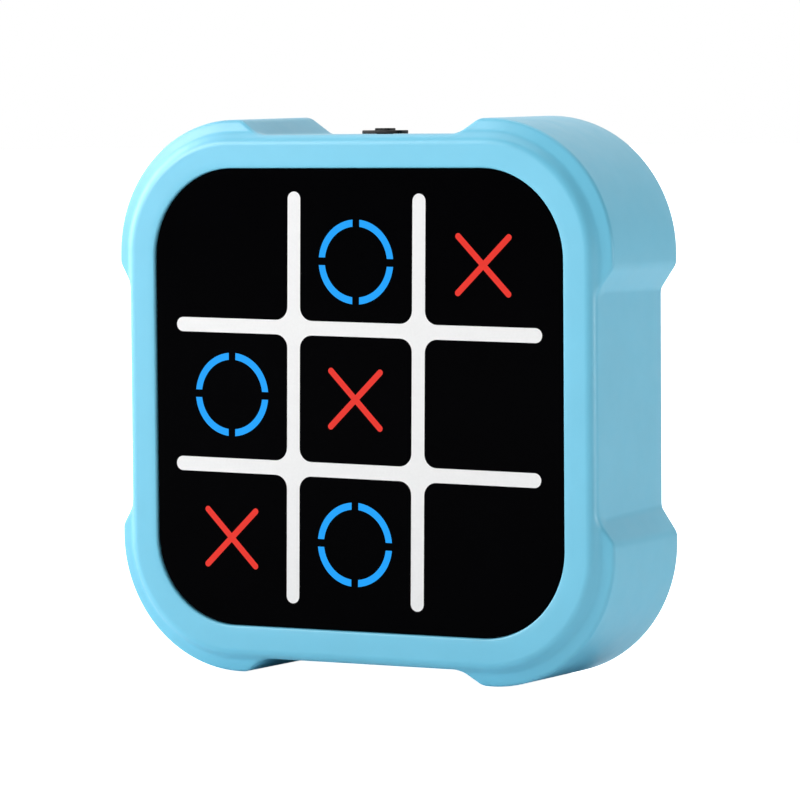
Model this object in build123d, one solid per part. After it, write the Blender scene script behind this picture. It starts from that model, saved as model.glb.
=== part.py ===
from build123d import *
import math
import os

# Handheld electronic noughts-and-crosses game: a square blue case with four corner
# bumpers, a black lit panel, a slide switch on top and a battery door at the back.
# Frame: X to the right, Y from the face to the back, Z up, origin at the bottom centre.
# "Depth" is always measured from the bezel plane towards the back, and sketches on
# the face are drawn from the middle of the face with X right and Z up. All in mm.

# --- Case, outside ---------------------------------------------------------------
SIZE = 80.0            # overall width and height, over the bumpers
DEPTH = 22.4           # bezel plane to back rim
HALF = SIZE / 2
RECESS = 2.43          # how far the sides stand in from the bumpers
SIDE = HALF - RECESS   # half-width between the bumpers
CORNER = 19.5          # outer radius of a bumper
RAMP_FOOT = 15.45      # where a bumper rises from the side, from the middle of the side
RAMP = math.radians(34.2)   # slope of that rise against the side
CREST_ROUND = 2.0      # rounding at the top of the ramp
FOOT_ROUND = 1.0       # rounding at the foot of the ramp
ROLL = 1.5             # rounding of the bezel's outer edge
VALLEY = 1.5           # hollow between the bezel and a bumper's front
DISH = math.radians(17)     # slope of a bumper's front
LIP_DEPTH = 1.9        # depth of a bumper's front edge before rounding
LIP_ROUND = 0.5        # rounding of that edge
BACK_ROUND = 0.6       # rounding of the outer back edge
WALL = 2.2             # wall thickness

# --- Face ------------------------------------------------------------------------
PANEL_HALF = 32.75
PANEL_CORNER = 12.7
PANEL_FRONT = 0.3      # the panel lies this far below the bezel
PANEL_BACK = 1.8
PANEL_GAP = 0.1
BEZEL_ROUND = 0.3
LEDGE_FRONT = 1.95     # ledge that carries the panel on its tape
LEDGE_BACK = 3.4
LEDGE_HALF = 30.2
LEDGE_CORNER = 10.2
CELL = 20.2            # distance between the middles of two cells
CROSS_REACH = 4.1      # stroke ends of an X, from its middle, along X and Z
STROKE = 0.9
RING_OUT = 6.0
RING_IN = 5.0
RING_GAP = 1.1

# --- Light frame, guides and board ---------------------------------------------------
FRAME_HALF = 29.9
FRAME_CORNER = 9.9
FRAME_FRONT = 2.05
BOARD_FRONT = 6.6
BOARD_BACK = 7.8
BOARD_HALF = 34.4
BOARD_CORNER = 14.4
WELL = 7.2             # radius of a cell's light well
GUIDE = 7.1            # radius of the clear discs in it
TAIL_HALF = 3.5        # half-width of the touch film's tail
TAIL_Z = -29.7
TAIL_DEPTH = 8.1       # where the tail runs along the back of the board
FILM = 0.2
POST_X = 32.0
POST_Z = 10.0
POST = 1.8
BOSS = 29.3            # case screw bosses, along X and Z
BOSS_RADIUS = 3.0
BOSS_BACK = 17.0

# --- Slide switch and its slider -------------------------------------------------------
SWITCH_DEPTH = 9.8     # depth of the slider's middle
TRAVEL = 2.0           # each way
SWITCH_HALF = 4.3
SWITCH_LOW = 29.0
SWITCH_HIGH = 33.0
LEVER_HALF = 0.75
PLATE_HALF = 3.2
PLATE_DEPTH = 2.9
PLATE_RISE = 0.5
GRIP_HALF = 1.2
GRIP_DEPTH = 2.2
GRIP_RISE = 0.3
NECK_HALF = 0.9
PLATE_GAP = 0.05

# --- Back cover, battery tray and door ----------------------------------------------------
COVER_FRONT = 20.4
COVER_BACK = 22.2
COVER_GAP = 0.15
TRAY_HALF = 25.3       # inside, along X
TRAY_WALL = 2.4
TRAY_FLOOR = 9.9
TRAY_SKIN = 1.2
TRAY_LOW = -23.3       # inside, along Z
TRAY_HIGH = 9.3
TRAY_TOP_WALL = 1.2
RIM = 20.65            # the tray walls end just below the door
DOOR_FRONT = 20.7
DOOR_HALF = 26.4
DOOR_LOW = -24.4
DOOR_HIGH = 13.0
DOOR_GAP = 0.2
DOOR_CORNER = 1.5      # lower corners of the door
EDGE = 0.2             # small rounding of the edges that a hand meets at the back
HINGE_ROUND = 1.6      # the door's upper edge is round about its hinge line
HINGE_Z = DOOR_HIGH - HINGE_ROUND
HINGE_DEPTH = COVER_BACK - HINGE_ROUND
TONGUE_X = 14.5
TONGUE_HALF = 2.5
LOCK_Z = -26.9         # door screw
LOCK_TAB = 3.2
LOCK_BOSS = 4.2
SPEAKER_Z = 23.5
SPEAKER = 9.0

# --- Cells, contacts and fasteners -----------------------------------------------------------
CELL_RADIUS = 5.2
CELL_BODY = 43.5
NUB = 1.9
NUB_LENGTH = 1.0
CELL_PITCH = 10.8
CELL_DEPTH = 15.2
CONTACT = 0.4
WIRE = 0.55            # radius of the insulated wires
SPRING_WIRE = 0.35


def face_plane(depth):
    """Plane parallel to the face at a depth, seen from the front."""
    origin = (0, depth - DEPTH / 2, SIZE / 2)
    return Plane(origin=origin, x_dir=(1, 0, 0), z_dir=(0, -1, 0))


def slab(sketch, front, back):
    """Solid between two depths over a sketch on the face."""
    return extrude(face_plane(back) * sketch, back - front, dir=(0, -1, 0))


def at(x, z, depth):
    """Location of a point given on the face and by its depth."""
    return Pos(x, depth - DEPTH / 2, SIZE / 2 + z)


def square(half, corner):
    return RectangleRounded(2 * half, 2 * half, corner)


def window(x_low, x_high, z_low, z_high):
    """Rectangle from edge to edge."""
    middle = Pos((x_low + x_high) / 2, (z_low + z_high) / 2)
    return middle * Rectangle(x_high - x_low, z_high - z_low)


def disc(x, z, radius):
    return Pos(x, z) * Circle(radius)


def corners(x, z):
    """The four points of a rectangle about the middle of the face."""
    return [(sx * x, sz * z) for sx in (-1, 1) for sz in (-1, 1)]


def cells():
    """Middles of the nine cells."""
    return [(CELL * column, CELL * row) for row in (1, 0, -1) for column in (-1, 0, 1)]


def quarter_turns(solid):
    """Four copies of a solid about the middle of the face."""
    axis = Axis((0, 0, SIZE / 2), (0, 1, 0))
    return [solid.rotate(axis, 90 * k) for k in range(4)]


def cross_recess(x, z, floor, top, reach=1.1, half_width=0.3):
    """Cross-shaped driver recess of a screw head."""
    bars = Rectangle(2 * reach, 2 * half_width) + Rectangle(2 * half_width, 2 * reach)
    return slab(Pos(x, z) * bars, floor, top)


def outline(inset):
    """Rounded square with four corner bumpers, drawn in by an inset."""
    half = HALF - inset
    side = SIDE - inset
    foot = RAMP_FOOT + inset * math.tan(RAMP / 2)
    spare = 3.0
    reach = foot + (RECESS + spare) / math.tan(RAMP)
    top = half + spare
    notch = Polygon((-foot, side), (foot, side), (reach, top), (-reach, top), align=None)
    shape = square(half, CORNER - inset)
    for k in range(4):
        shape -= Rot(0, 0, 90 * k) * notch
    on_edge = [v for v in shape.vertices() if max(abs(v.X), abs(v.Y)) > half - 0.01]
    crests = [v for v in on_edge if min(abs(v.X), abs(v.Y)) < HALF - CORNER - 0.1]
    shape = fillet(crests, max(CREST_ROUND - inset, 0.3))
    feet = [v for v in shape.vertices() if abs(max(abs(v.X), abs(v.Y)) - side) < 0.01]
    return fillet(feet, FOOT_ROUND + inset)


def arc_between(centre, start, end, radius):
    """Short arc from start to end about a centre."""
    toward = ((start - centre) + (end - centre)).normalized()
    return ThreePointArc(start, centre + toward * radius, end)


def bumper_section():
    """Section across a bumper: half-width along x, depth along -y.

    The bezel rolls off, turns up in a hollow, slopes back and ends in a rounded lip.
    """
    roll = Vector(SIDE - ROLL, -ROLL)
    along = Vector(math.cos(DISH), -math.sin(DISH))
    normal = Vector(math.sin(DISH), math.cos(DISH))
    edge = Vector(HALF, -LIP_DEPTH)
    start = edge + normal * VALLEY - roll
    half_b = start.dot(along)
    rest = start.dot(start) - (ROLL + VALLEY) ** 2
    valley = roll + start + along * (math.sqrt(half_b**2 - rest) - half_b)
    roll_end = roll + (valley - roll).normalized() * ROLL
    valley_end = valley - normal * VALLEY
    reach = LIP_ROUND * math.tan((math.pi / 2 - DISH) / 2)
    lip_start = edge - along * reach
    lip_end = edge - Vector(0, reach)
    lip = lip_end - Vector(LIP_ROUND, 0)
    bezel = Vector(SIDE - ROLL, 0)
    inner = SIDE - 12
    lines = [
        Line((inner, 0), bezel),
        arc_between(roll, bezel, roll_end, ROLL),
        arc_between(valley, roll_end, valley_end, VALLEY),
        Line(valley_end, lip_start),
        arc_between(lip, lip_start, lip_end, LIP_ROUND),
        Line(lip_end, (HALF, -DEPTH)),
        Line((HALF, -DEPTH), (inner, -DEPTH)),
        Line((inner, -DEPTH), (inner, 0)),
    ]
    return make_face(Wire(lines))


def case_block():
    """Solid outer form of the case, before it is hollowed."""
    centre = HALF - CORNER
    origin = (0, -DEPTH / 2, SIZE / 2 + centre)
    face = Plane(origin=origin, x_dir=(1, 0, 0), z_dir=(0, 0, -1)) * bumper_section()
    turn = revolve(face, Axis((centre, 0, SIZE / 2 + centre), (0, -1, 0)), 90)
    bar = extrude(face, 2 * centre)
    block = slab(square(SIDE - 8, 10), 0, DEPTH)
    for piece in quarter_turns(turn + bar):
        block += piece
    block &= slab(outline(0), -1, DEPTH + 1)

    # Between the bumpers the bezel rolls straight down to the side.
    core = slab(square(SIDE, CORNER - RECESS), 0, DEPTH)
    front = [e for e in core.edges() if e.center().Y < 0.01 - DEPTH / 2]
    core = fillet(front, ROLL)
    outside = slab(square(SIDE + 1, CORNER), -0.5, DEPTH + 1) - core
    step = RECESS / math.tan(RAMP)
    zone = Polygon(
        (-RAMP_FOOT, SIDE), (-RAMP_FOOT + step, SIDE - RECESS),
        (RAMP_FOOT - step, SIDE - RECESS), (RAMP_FOOT, SIDE),
        (RAMP_FOOT + step, HALF), (-RAMP_FOOT - step, HALF), align=None,
    )
    for piece in quarter_turns(slab(zone, -1, DEPTH + 2)):
        block -= outside & piece
    back = [e for e in block.edges() if e.center().Y > DEPTH / 2 - 0.01]
    return block.fillet(BACK_ROUND, back)


def front_shell():
    shell = case_block()
    shell -= slab(square(PANEL_HALF + PANEL_GAP, PANEL_CORNER + PANEL_GAP), -1, LEDGE_FRONT)
    middles = [(e, e.center()) for e in shell.edges()]
    front = [(e, c) for e, c in middles if c.Y < 0.01 - DEPTH / 2]
    mouth = [e for e, c in front if max(abs(c.X), abs(c.Z - HALF)) < PANEL_HALF + 1]
    shell = shell.fillet(BEZEL_ROUND, mouth)
    shell -= slab(square(LEDGE_HALF, LEDGE_CORNER), LEDGE_FRONT - 1, LEDGE_BACK + 1)
    shell -= slab(outline(WALL), LEDGE_BACK, DEPTH + 1)
    for x, z in corners(BOSS, BOSS):
        shell += slab(disc(x, z, BOSS_RADIUS), LEDGE_BACK - 0.5, BOSS_BACK)
        shell -= slab(disc(x, z, 1.2), 8, BOSS_BACK + 1)
    for x, z in corners(POST_X, POST_Z):
        shell += slab(disc(x, z, POST), LEDGE_BACK - 0.5, BOARD_FRONT)
        shell -= slab(disc(x, z, 0.95), 3.6, BOARD_FRONT + 1)
    slot = Box(2 * (NECK_HALF + TRAVEL + 0.2), 2 * NECK_HALF + 0.3, 4 * WALL)
    return shell - at(0, SIDE, SWITCH_DEPTH) * slot


def face_panel():
    panel = slab(square(PANEL_HALF, PANEL_CORNER), PANEL_FRONT, PANEL_BACK)
    front = [e for e in panel.edges() if e.center().Y < PANEL_FRONT + 0.01 - DEPTH / 2]
    return chamfer(front, 0.2)


def panel_tape():
    ring = square(PANEL_HALF - 0.25, PANEL_CORNER - 0.25) - square(LEDGE_HALF + 0.2, LEDGE_CORNER + 0.2)
    return slab(ring, PANEL_BACK, LEDGE_FRONT)


def touch_film():
    tail_back = TAIL_DEPTH + FILM
    film = slab(square(LEDGE_HALF - 0.2, LEDGE_CORNER - 0.2), PANEL_BACK, PANEL_BACK + FILM)
    film += slab(window(-TAIL_HALF, TAIL_HALF, TAIL_Z, TAIL_Z + FILM), PANEL_BACK, tail_back)
    return film + slab(window(-TAIL_HALF, TAIL_HALF, TAIL_Z, -27.2), TAIL_DEPTH, tail_back)


def light_frame():
    sketch = square(FRAME_HALF, FRAME_CORNER) - window(-4, 4, -31, -29.2)
    for x, z in cells():
        sketch -= disc(x, z, WELL)
    return slab(sketch, FRAME_FRONT, BOARD_FRONT - 0.05)


def x_light_guides():
    """Clear discs with an X standing on each, one for every cell."""
    stroke = SlotCenterToCenter(2 * math.hypot(CROSS_REACH, CROSS_REACH), STROKE)
    cross = Rot(0, 0, 45) * stroke + Rot(0, 0, -45) * stroke
    guides = []
    for x, z in cells():
        guides.append(slab(disc(x, z, GUIDE), 3.4, 4.2) + slab(Pos(x, z) * cross, 2.1, 3.4))
    return guides


def o_light_guides():
    """Clear discs with a ring of four arcs on each, behind the X guides."""
    gaps = Rectangle(RING_GAP, 3 * RING_OUT) + Rectangle(3 * RING_OUT, RING_GAP)
    arcs = Circle(RING_OUT) - Circle(RING_IN) - gaps
    guides = []
    for x, z in cells():
        guides.append(slab(disc(x, z, GUIDE), 5.0, 5.8) + slab(Pos(x, z) * arcs, 4.25, 5.0))
    return guides


def led(x, z, turn):
    """Small surface-mounted lamp standing on the front of the board."""
    base = Pos(x, z) * Rot(0, 0, turn) * Rectangle(1.6, 0.8)
    lens = Pos(x, z) * Rot(0, 0, turn) * Rectangle(1.0, 0.8)
    return slab(base, BOARD_FRONT - 0.35, BOARD_FRONT) + slab(lens, BOARD_FRONT - 0.7, BOARD_FRONT - 0.35)


def red_leds():
    return [led(x, z, 0) for x, z in cells()]


def blue_leds():
    reach = (RING_OUT + RING_IN) / 2 * math.sqrt(0.5)
    return [led(x + s * reach, z + s * reach, -45) for x, z in cells() for s in (-1, 1)]


def main_board():
    sketch = square(BOARD_HALF, BOARD_CORNER) - window(-4, 4, TAIL_Z - 0.4, TAIL_Z + 0.6)
    for x, z in corners(BOSS, BOSS):
        sketch -= disc(x, z, BOSS_RADIUS + 0.4)
    for x, z in corners(POST_X, POST_Z):
        sketch -= disc(x, z, 1.1)
    return slab(sketch, BOARD_FRONT, BOARD_BACK)


def board_screws():
    screws = []
    for x, z in corners(POST_X, POST_Z):
        head = slab(disc(x, z, 1.7), BOARD_BACK, BOARD_BACK + 1.1)
        shank = slab(disc(x, z, 0.9), 4.0, BOARD_BACK)
        recess = cross_recess(x, z, BOARD_BACK + 0.5, BOARD_BACK + 1.2, 0.9, 0.22)
        screws.append(head + shank - recess)
    return screws


def film_connector():
    body = slab(window(-4.2, 4.2, -28.2, -25.2), BOARD_BACK, BOARD_BACK + 0.8)
    mouth = window(-TAIL_HALF - 0.1, TAIL_HALF + 0.1, -28.3, -27.1)
    return body - slab(mouth, TAIL_DEPTH - 0.05, TAIL_DEPTH + FILM + 0.05)


def controller_chip():
    """Sixteen-leg chip on the back of the board."""
    x, z = -19.0, 21.0
    chip = slab(window(x - 5, x + 5, z - 2, z + 2), BOARD_BACK + 0.15, BOARD_BACK + 1.55)
    for k in range(8):
        leg = x + (k - 3.5) * 1.27
        chip += slab(window(leg - 0.2, leg + 0.2, z - 3, z + 3), BOARD_BACK, BOARD_BACK + 0.3)
    return chip


def switch_body():
    can = window(-SWITCH_HALF, SWITCH_HALF, SWITCH_LOW, SWITCH_HIGH)
    body = slab(can, BOARD_BACK, 2 * SWITCH_DEPTH - BOARD_BACK)
    slot = Box(2 * (LEVER_HALF + TRAVEL + 0.1), 1.6, 2.4)
    return body - at(0, SWITCH_HIGH, SWITCH_DEPTH) * slot


def switch_lever():
    low, high = 32.0, 35.0
    return at(0, (low + high) / 2, SWITCH_DEPTH) * Box(2 * LEVER_HALF, 1.3, high - low)


def mode_slider():
    """Slider on the top of the case, with a ribbed grip and a foot that holds the lever."""
    low = SIDE + PLATE_GAP
    high = low + PLATE_RISE
    plate = Box(2 * PLATE_HALF, PLATE_DEPTH, PLATE_RISE)
    plate = fillet(plate.edges().filter_by(Axis.Z), 0.6)
    slider = at(0, (low + high) / 2, SWITCH_DEPTH) * plate
    grip = fillet(Box(2 * GRIP_HALF, GRIP_DEPTH, GRIP_RISE).edges().filter_by(Axis.Z), 0.3)
    for k in range(3):
        grip -= Pos((k - 1) * 0.7, 0, GRIP_RISE / 2) * Box(0.25, 5, 0.24)
    slider += at(0, high + GRIP_RISE / 2, SWITCH_DEPTH) * grip
    foot_high = SIDE - WALL - 0.07
    foot_low = 34.2
    neck = Box(2 * NECK_HALF, 2 * NECK_HALF, low - foot_high)
    slider += at(0, (foot_high + low) / 2, SWITCH_DEPTH) * neck
    foot = at(0, (foot_low + foot_high) / 2, SWITCH_DEPTH) * Box(10.4, 3.6, foot_high - foot_low)
    pocket = at(0, foot_low, SWITCH_DEPTH) * Box(2 * LEVER_HALF + 0.2, 1.5, 1.8)
    return slider + foot - pocket


def speaker():
    """Small loudspeaker that faces the grille in the back cover."""
    profile = Polyline(
        (0, 15.4), (5.0, 15.4), (5.0, 17.2), (SPEAKER, 17.2), (SPEAKER, 20.35),
        (7.8, 20.35), (3.0, 19.2), (0, 18.8), close=True,
    )
    # Profile: radius along x, depth along y; the speaker turns about the depth axis.
    plane = Plane(origin=(0, -DEPTH / 2, SIZE / 2 + SPEAKER_Z), x_dir=(1, 0, 0), z_dir=(0, 0, 1))
    axis = Axis((0, 0, SIZE / 2 + SPEAKER_Z), (0, 1, 0))
    return revolve(plane * make_face(profile), axis, 360)


def wire_path(*points, bend):
    """Insulated wire through points given as (x, z, depth)."""
    places = [Vector(x, depth - DEPTH / 2, SIZE / 2 + z) for x, z, depth in points]
    path = FilletPolyline(*places, radius=bend)
    start = Plane(origin=path @ 0, z_dir=path % 0)
    return sweep(start * Circle(WIRE), path=path)


def speaker_wires():
    wires = []
    for s in (-1, 1):
        tab, pad = (s * 1.5, 16.8), (s * 4.5, 19.6)
        path = ((*tab, 17.15), (*tab, 12.4), (*pad, 11.6), (*pad, 7.85))
        wires.append(wire_path(*path, bend=1.5))
    return wires


def battery_wires():
    """One wire from each end of the tray to the board."""
    x = TRAY_HALF - CONTACT - WIRE - 0.05
    plus = wire_path((x, 11.4, 14.0), (x, 16.0, 14.0), (x, 16.0, 7.85), bend=3.0)
    minus = wire_path((-x, -26.4, 14.0), (-x, -30.4, 14.0), (-x, -30.4, 7.85), bend=3.0)
    return [plus, minus]


def door_outline(grow):
    """The door on the face of the cover, with the round tab for its screw."""
    plate = window(-DOOR_HALF - grow, DOOR_HALF + grow, DOOR_LOW - grow, DOOR_HIGH + grow)
    plate = fillet([v for v in plate.vertices() if v.Y < 0], DOOR_CORNER + grow)
    tab = disc(0, LOCK_Z, LOCK_TAB + grow)
    tab += window(-LOCK_TAB - grow, LOCK_TAB + grow, LOCK_Z, DOOR_LOW + 1)
    return plate + tab


def grille_holes():
    """One hole in the middle and two rings of holes round it."""
    places = [(0, 0)]
    for count, radius in ((6, 3.0), (12, 6.0)):
        turns = [2 * math.pi * k / count for k in range(count)]
        places += [(radius * math.cos(a), radius * math.sin(a)) for a in turns]
    return [disc(x, SPEAKER_Z + z, 0.75) for x, z in places]


def soften_back(solid, keep_off=()):
    """Round the edges that lie in the outer plane of the cover and the door."""
    edges = [e for e in solid.edges() if abs(e.center().Y - COVER_BACK + DEPTH / 2) < 0.001]
    edges = [e for e in edges if not any(abs(e.center().Z - z) < 0.01 for z in keep_off)]
    return fillet(edges, EDGE)


def back_cover():
    cover = slab(outline(WALL + COVER_GAP), COVER_FRONT, COVER_BACK)
    cover -= slab(door_outline(DOOR_GAP), COVER_FRONT - 1, COVER_BACK + 1)
    outer = TRAY_HALF + TRAY_WALL
    box = window(-outer, outer, TRAY_LOW - TRAY_WALL, TRAY_HIGH + TRAY_TOP_WALL)
    tray = slab(box, TRAY_FLOOR - TRAY_SKIN, RIM)
    tray += slab(disc(0, LOCK_Z, LOCK_BOSS), 13, RIM)
    cover += tray
    cover -= slab(window(-TRAY_HALF, TRAY_HALF, TRAY_LOW, TRAY_HIGH), TRAY_FLOOR, DEPTH)
    cover -= slab(disc(0, LOCK_Z, 1.6), 14, DEPTH)
    for x in (-TONGUE_X, TONGUE_X):
        reach = TONGUE_HALF + 0.7
        slot = window(x - reach, x + reach, TRAY_HIGH - 0.1, TRAY_HIGH + TRAY_TOP_WALL + 0.1)
        cover -= slab(slot, 17.3, 21)
    for x, z in corners(BOSS, BOSS):
        cover += slab(disc(x, z, 3.7), BOSS_BACK + 0.05, COVER_FRONT)
        cover -= slab(disc(x, z, 2.6), BOSS_BACK + 1.25, DEPTH)
        cover -= slab(disc(x, z, 1.4), BOSS_BACK - 1, DEPTH)
    cover += slab(disc(0, SPEAKER_Z, SPEAKER + 1.2) - disc(0, SPEAKER_Z, SPEAKER + 0.2), 17.5, COVER_FRONT)
    for hole in grille_holes():
        cover -= slab(hole, COVER_FRONT - 1, DEPTH)
    # Slots in the tray walls for the two contact tails.
    cover -= slab(window(-TRAY_HALF - 0.1, -24.8, TRAY_LOW - 3, TRAY_LOW + 1), 12.8, 15.2)
    cover -= slab(window(24.8, TRAY_HALF + 0.1, TRAY_HIGH - 1, TRAY_HIGH + 3), 12.8, 15.2)
    return soften_back(cover)


def battery_door():
    """Door that tilts about its upper edge, with two tongues behind the cover."""
    door = slab(door_outline(0), DOOR_FRONT, COVER_BACK)
    hinge = at(0, HINGE_Z, HINGE_DEPTH) * Cylinder(HINGE_ROUND, 4 * DOOR_HALF, rotation=(0, 90, 0))
    door &= slab(window(-HALF, HALF, -HALF, HINGE_Z), 0, DEPTH) + hinge
    door = soften_back(door, keep_off=[SIZE / 2 + HINGE_Z])
    for k in range(5):
        z = -19.0 + 1.3 * k
        door -= slab(window(-6, 6, z - 0.3, z + 0.3), COVER_BACK - 0.4, DEPTH)
    for x in (-TONGUE_X, TONGUE_X):
        low, high = x - TONGUE_HALF, x + TONGUE_HALF
        door += slab(window(low, high, HINGE_Z - 0.6, HINGE_Z + 0.6), 18.9, DOOR_FRONT + 0.2)
        door += slab(window(low, high, HINGE_Z + 0.6, HINGE_Z + 3.4), 18.9, 20.3)
    door -= slab(disc(0, LOCK_Z, 2.1), COVER_BACK - 1.0, DEPTH)
    return door - slab(disc(0, LOCK_Z, 1.1), DOOR_FRONT - 1, DEPTH)


def door_screw():
    floor = COVER_BACK - 1.0
    screw = slab(disc(0, LOCK_Z, 2.0), floor, COVER_BACK - 0.1) + slab(disc(0, LOCK_Z, 1.0), 15.7, floor)
    return screw - cross_recess(0, LOCK_Z, COVER_BACK - 0.7, DEPTH, 1.2, 0.28)


def case_screws():
    seat = BOSS_BACK + 1.25
    screws = []
    for x, z in corners(BOSS, BOSS):
        screw = slab(disc(x, z, 2.3), seat, seat + 1.5) + slab(disc(x, z, 1.15), 9, seat)
        screws.append(screw - cross_recess(x, z, seat + 0.6, seat + 2, 1.3, 0.3))
    return screws


def row_z(row):
    """Height of a battery row: 0 below, 2 above."""
    return (TRAY_LOW + TRAY_HIGH) / 2 + (row - 1) * CELL_PITCH


def battery(row):
    """Small round cell; the middle row lies the other way round."""
    facing = -1 if row == 1 else 1
    tip = facing * (TRAY_HALF - CONTACT - 0.05)
    middle = tip - facing * (NUB_LENGTH + CELL_BODY / 2)
    body = Cylinder(CELL_RADIUS, CELL_BODY, rotation=(0, 90, 0))
    body = fillet(body.edges(), 0.4)
    nub = Cylinder(NUB, NUB_LENGTH + 0.2, rotation=(0, 90, 0))
    cell = at(middle, row_z(row), CELL_DEPTH) * body
    return cell + at(tip - facing * (NUB_LENGTH + 0.2) / 2, row_z(row), CELL_DEPTH) * nub


def battery_springs():
    """Coil springs between the contact plates and the flat ends of the cells."""
    springs = []
    room = 2 * (TRAY_HALF - CONTACT) - CELL_BODY - NUB_LENGTH - 0.05
    height = room - 2 * SPRING_WIRE - 0.2
    for row in range(3):
        side = 1 if row == 1 else -1
        start = side * (TRAY_HALF - CONTACT - SPRING_WIRE - 0.1)
        coil = Helix(height / 3, height, 2.6, center=(0, 0, 0), direction=(0, 0, 1))
        section = Plane(origin=coil @ 0, z_dir=coil % 0) * Circle(SPRING_WIRE)
        solid = sweep(section, path=coil, is_frenet=True)
        springs.append(at(start, row_z(row), CELL_DEPTH) * Rot(0, -90 * side, 0) * solid)
    return springs


def contact_plates():
    """Spring-side and button-side plates that join the three cells in series."""
    inner, outer = TRAY_HALF - CONTACT, TRAY_HALF
    front, back = 11.2, 19.2
    tail_front, tail_back = 13.0, 15.0
    half = 3.6
    low, middle, high = row_z(0), row_z(1), row_z(2)
    minus = slab(window(-outer, -inner, low - half, low + half), front, back)
    minus += slab(window(-outer, -inner, TRAY_LOW - 3.6, low), tail_front, tail_back)
    plus = slab(window(inner, outer, high - half, high + half), front, back)
    plus += slab(window(inner, outer, high, TRAY_HIGH + 2.8), tail_front, tail_back)
    left = slab(window(-outer, -inner, middle - half, high + half), front, back)
    right = slab(window(inner, outer, low - half, middle + half), front, back)
    return [minus, plus, left, right]


pieces = {
    "front_shell": front_shell,
    "face_panel": face_panel,
    "panel_tape": panel_tape,
    "touch_film": touch_film,
    "light_frame": light_frame,
    "x_light_guides": x_light_guides,
    "o_light_guides": o_light_guides,
    "red_leds": red_leds,
    "blue_leds": blue_leds,
    "main_board": main_board,
    "board_screws": board_screws,
    "film_connector": film_connector,
    "controller_chip": controller_chip,
    "switch_body": switch_body,
    "switch_lever": switch_lever,
    "mode_slider": mode_slider,
    "speaker": speaker,
    "speaker_wires": speaker_wires,
    "battery_wires": battery_wires,
    "back_cover": back_cover,
    "battery_door": battery_door,
    "door_screw": door_screw,
    "case_screws": case_screws,
    "battery_springs": battery_springs,
    "contact_plates": contact_plates,
}

os.makedirs("parts", exist_ok=True)
for name, build in pieces.items():
    made = build()
    if isinstance(made, list):
        made = Compound(children=[Part() + solid for solid in made])
    export_step(made, f"parts/{name}.step")
for row in range(3):
    export_step(battery(row), f"parts/battery_{row + 1}.step")
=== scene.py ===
"""Handheld noughts-and-crosses game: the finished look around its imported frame."""

import math

import bmesh
import bpy
import numpy as np
from mathutils import Matrix, Vector
from mathutils.geometry import delaunay_2d_cdt


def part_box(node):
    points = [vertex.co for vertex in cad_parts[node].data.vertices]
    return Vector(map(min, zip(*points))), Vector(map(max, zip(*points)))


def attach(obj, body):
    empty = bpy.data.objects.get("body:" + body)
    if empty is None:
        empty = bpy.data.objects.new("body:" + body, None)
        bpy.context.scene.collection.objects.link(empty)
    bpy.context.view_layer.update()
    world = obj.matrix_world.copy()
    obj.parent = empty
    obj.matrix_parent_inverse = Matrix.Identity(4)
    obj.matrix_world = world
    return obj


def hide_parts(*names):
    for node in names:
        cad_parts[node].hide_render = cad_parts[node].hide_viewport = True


bl_info = {
    "name": "Noughts and Crosses Handheld",
    "version": (1, 0, 0),
    "blender": (4, 5, 0),
    "location": "View3D > Sidebar > Game",
    "description": "Builds the case, the lit panel, the cells and the finishes of a handheld game",
    "category": "Object",
}

MM = 0.001
MIX_A, MIX_B, MIX_COLOUR = 6, 7, 2   # colour inputs and output of the Mix node
SOFT_CREASE = 35.0                   # degrees between faces that still shade as one

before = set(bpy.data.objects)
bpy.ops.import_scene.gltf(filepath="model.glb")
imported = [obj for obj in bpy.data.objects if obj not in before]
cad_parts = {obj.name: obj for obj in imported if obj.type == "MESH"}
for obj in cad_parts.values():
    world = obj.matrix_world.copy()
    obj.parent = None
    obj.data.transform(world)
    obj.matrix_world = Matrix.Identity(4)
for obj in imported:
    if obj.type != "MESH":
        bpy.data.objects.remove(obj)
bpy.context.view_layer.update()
SHELL_LOW, SHELL_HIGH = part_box("front_shell")
PANEL_LOW, PANEL_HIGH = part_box("face_panel")
MIDDLE = (SHELL_LOW.z + SHELL_HIGH.z) / 2   # height of the middle of the face
BEZEL = SHELL_LOW.y                         # plane of the bezel
HALF = SHELL_HIGH.x                         # half-width over the bumpers
DEPTH = SHELL_HIGH.y - SHELL_LOW.y
PANEL_HALF = PANEL_HIGH.x

LIT_CROSSES = ((1, 1), (0, 0), (-1, -1))    # column and row, counted from the middle cell
LIT_RINGS = ((0, 1), (-1, 0), (0, -1))
ROW_RISE = {1: -0.6 * MM, 0: 0.15 * MM, -1: -0.27 * MM}     # of a row's marks in their cells
GROUND, GRID, RED, BLUE = 0, 1, 2, 3        # the panel's materials, in order
METAL, SLEEVE, BAND = 0, 1, 2               # a dry cell's materials, in order


def length(name, words, millimetres):
    """A size that a user may change, given in millimetres and kept in metres."""
    return bpy.props.FloatProperty(
        name=name, description=words, default=millimetres * MM, unit="LENGTH", precision=5
    )


def angle(name, words, degrees):
    return bpy.props.FloatProperty(
        name=name, description=words, default=math.radians(degrees), subtype="ANGLE"
    )


def colour(name, words, code):
    """An sRGB colour that a user may change, as a hex code."""
    return bpy.props.StringProperty(name=name, description=words, default=code)


def amount(name, words, value):
    return bpy.props.FloatProperty(name=name, description=words, default=value)


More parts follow.
